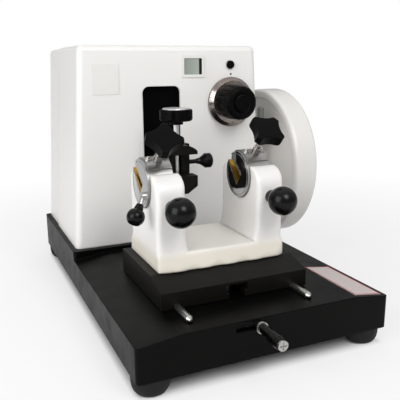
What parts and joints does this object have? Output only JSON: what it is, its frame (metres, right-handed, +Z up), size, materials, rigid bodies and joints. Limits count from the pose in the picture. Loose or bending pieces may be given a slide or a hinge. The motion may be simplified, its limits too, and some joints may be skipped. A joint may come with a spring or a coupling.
{
  "type": "rotary microtome",
  "caption": "Bench rotary microtome with a handwheel-driven vertical specimen carriage, feed dial, drafted housing and a sliding two-pillar knife holder on a cast base.",
  "frame": {"origin": "on the bench, below the centre of the bounding box of the whole instrument", "axes": "+X to the operator's right, towards the handwheel; +Y from the knife holder to the rear of the housing; +Z up"},
  "size_m": [0.4238, 0.544, 0.3405],
  "materials": {
    "base_enamel": "gloss black enamel on cast iron",
    "knife_enamel": "gloss black enamel",
    "white_enamel": "off-white semi-gloss enamel",
    "casting_white": "glossy white stove enamel",
    "cast_frame": "grey primer",
    "steel": "ground",
    "dark_steel": "blued",
    "polished_steel": "mirror polished",
    "brass": "machined",
    "black_plastic": "satin moulded phenolic",
    "grey_paint": "grey hammered enamel",
    "rubber": "matte",
    "board": "green laminate",
    "window": "grey-green display",
    "bezel": "pale frame",
    "paper": "plain pale card",
    "shield_black": "matt black"
  },
  "bodies": {
    "frame": {"base_casting": "base_enamel", "rubber_feet": "rubber", "guide_rods": "steel", "t_bolt": "steel", "blank_card": "paper", "front_shell": "white_enamel", "rear_cover": "white_enamel", "cover_screws": "steel", "display_frame": "bezel", "display_window": "window", "control_board": "board", "blank_badge": "paper", "machine_frame": "cast_frame", "guide_columns": "steel", "shaft_bushes": "brass"},
    "dial": {"dial_ring": "polished_steel", "dial_knob": "black_plastic", "dial_cap": "black_plastic", "dial_shaft": "steel"},
    "button": {"push_button": "black_plastic"},
    "wheel": {"handwheel": "casting_white", "wheel_nut": "steel", "main_shaft": "steel", "crank_disc": "dark_steel", "handle_stem": "steel"},
    "wheel_handle": {"handle_grip": "black_plastic"},
    "lock": {"wheel_lock_lever": "grey_paint"},
    "slide_carriage": {"carriage": "cast_frame", "yoke_plate": "steel", "dust_shield": "shield_black"},
    "feed_ram": {"ram": "dark_steel"},
    "feed_spindle": {"feed_screw": "steel", "ratchet_wheel": "brass"},
    "pawl": {"pawl_arm": "steel"},
    "gimbal": {"gimbal_block": "steel"},
    "clamp": {"clamp_body": "knife_enamel"},
    "jaw": {"clamp_jaw": "knife_enamel"},
    "clamp_spindle": {"clamp_screw": "polished_steel", "clamp_star": "black_plastic"},
    "clamp_lock": {"clamp_lock_knob": "black_plastic"},
    "knife_base": {"slide_block": "knife_enamel", "knife_casting": "casting_white"},
    "left_drum": {"drum_left": "polished_steel", "brass_left": "brass", "saddle_left": "steel", "tilt_lever": "steel", "tilt_knob": "black_plastic"},
    "right_drum": {"drum_right": "polished_steel", "brass_right": "brass", "saddle_right": "steel"},
    "left_plate": {"plate_left": "steel"},
    "right_plate": {"plate_right": "steel"},
    "left_star": {"stud_left": "steel", "star_left": "black_plastic"},
    "right_star": {"stud_right": "steel", "star_right": "black_plastic"},
    "left_ball": {"ball_knob_left": "black_plastic"},
    "right_ball": {"ball_knob_right": "black_plastic"},
    "front_lever": {"lever_arm": "polished_steel", "lever_grip": "black_plastic"}
  },
  "joints": [
    {"name": "dial_turn", "type": "hinge", "parent": "frame", "child": "dial", "pos_m": [0.0273, 0.03595, 0.2625], "axis": [0, 1, 0], "range_deg": [0, 330]},
    {"name": "button_press", "type": "slide", "parent": "frame", "child": "button", "axis": [0, 1, 0], "range_m": [0, 0.0015], "stiffness_N_per_m": 400},
    {"name": "wheel_turn", "type": "hinge", "parent": "frame", "child": "wheel", "pos_m": [0.1016, 0.10255, 0.1634], "axis": [1, 0, 0], "continuous": true},
    {"name": "grip_spin", "type": "hinge", "parent": "wheel", "child": "wheel_handle", "pos_m": [0.1419, 0.18455, 0.1634], "axis": [1, 0, 0], "continuous": true},
    {"name": "lock_swing", "type": "hinge", "parent": "frame", "child": "lock", "pos_m": [0.0821, 0.06795, 0.2105], "axis": [1, 0, 0], "range_deg": [0, 60]},
    {"name": "carriage_stroke", "type": "slide", "parent": "frame", "child": "slide_carriage", "axis": [0, 0, 1], "range_m": [-0.03, 0.03]},
    {"name": "feed_screw_turn", "type": "hinge", "parent": "slide_carriage", "child": "feed_spindle", "pos_m": [-0.0774, 0.18495, 0.189], "axis": [0, 1, 0], "range_deg": [0, 7200]},
    {"name": "ram_feed", "type": "slide", "parent": "slide_carriage", "child": "feed_ram", "axis": [0, -1, 0], "range_m": [0, 0.02]},
    {"name": "pawl_swing", "type": "hinge", "parent": "slide_carriage", "child": "pawl", "pos_m": [-0.0774, 0.19095, 0.189], "axis": [0, 1, 0], "range_deg": [-15, 15]},
    {"name": "gimbal_tilt", "type": "hinge", "parent": "feed_ram", "child": "gimbal", "pos_m": [-0.0774, 0.02695, 0.189], "axis": [1, 0, 0], "range_deg": [-8, 8]},
    {"name": "clamp_swivel", "type": "hinge", "parent": "gimbal", "child": "clamp", "pos_m": [-0.0774, 0.02695, 0.189], "axis": [0, 0, 1], "range_deg": [-8, 8]},
    {"name": "clamp_screw_turn", "type": "hinge", "parent": "clamp", "child": "clamp_spindle", "pos_m": [-0.0774, 0.00445, 0.189], "axis": [0, 0, 1], "range_deg": [0, 2880]},
    {"name": "jaw_lift", "type": "slide", "parent": "clamp", "child": "jaw", "axis": [0, 0, 1], "range_m": [0, 0.024]},
    {"name": "clamp_lock_turn", "type": "hinge", "parent": "clamp", "child": "clamp_lock", "pos_m": [-0.0609, 0.00595, 0.1885], "axis": [1, 0, 0], "range_deg": [0, 180]},
    {"name": "knife_slide", "type": "slide", "parent": "frame", "child": "knife_base", "axis": [0, 1, 0], "range_m": [-0.03, 0.012]},
    {"name": "knife_tilt_left", "type": "hinge", "parent": "knife_base", "child": "left_drum", "pos_m": [-0.1559, -0.08705, 0.1856], "axis": [1, 0, 0], "range_deg": [-10, 10]},
    {"name": "knife_tilt_right", "type": "hinge", "parent": "knife_base", "child": "right_drum", "pos_m": [-0.0329, -0.08705, 0.1856], "axis": [1, 0, 0], "range_deg": [-10, 10]},
    {"name": "left_star_turn", "type": "hinge", "parent": "left_drum", "child": "left_star", "pos_m": [-0.1414, -0.10774, 0.22099], "axis": [0, -0.682, 0.7314], "range_deg": [0, 1152]},
    {"name": "left_plate_press", "type": "slide", "parent": "left_drum", "child": "left_plate", "axis": [0, -0.6018, 0.7986], "range_m": [-0.004, 0]},
    {"name": "right_star_turn", "type": "hinge", "parent": "right_drum", "child": "right_star", "pos_m": [-0.0184, -0.10774, 0.22099], "axis": [0, -0.682, 0.7314], "range_deg": [0, 1152]},
    {"name": "right_plate_press", "type": "slide", "parent": "right_drum", "child": "right_plate", "axis": [0, -0.6018, 0.7986], "range_m": [-0.004, 0]},
    {"name": "left_ball_turn", "type": "hinge", "parent": "knife_base", "child": "left_ball", "pos_m": [-0.1389, -0.13405, 0.1661], "axis": [0, 1, 0], "range_deg": [0, 270]},
    {"name": "right_ball_turn", "type": "hinge", "parent": "knife_base", "child": "right_ball", "pos_m": [-0.0159, -0.13405, 0.1661], "axis": [0, 1, 0], "range_deg": [0, 270]},
    {"name": "lever_swing", "type": "hinge", "parent": "frame", "child": "front_lever", "pos_m": [-0.0774, -0.13905, 0.0565], "axis": [0, 0, 1], "range_deg": [-14, 0]}
  ],
  "couplings": [
    {"joint": "feed_screw_turn", "follows": "ram_feed", "rad_per_m": 6283},
    {"joint": "clamp_screw_turn", "follows": "jaw_lift", "rad_per_m": 2094},
    {"joint": "knife_tilt_right", "follows": "knife_tilt_left", "ratio": 1},
    {"joint": "left_star_turn", "follows": "left_plate_press", "rad_per_m": -5026.5},
    {"joint": "right_star_turn", "follows": "right_plate_press", "rad_per_m": -5026.5}
  ]
}
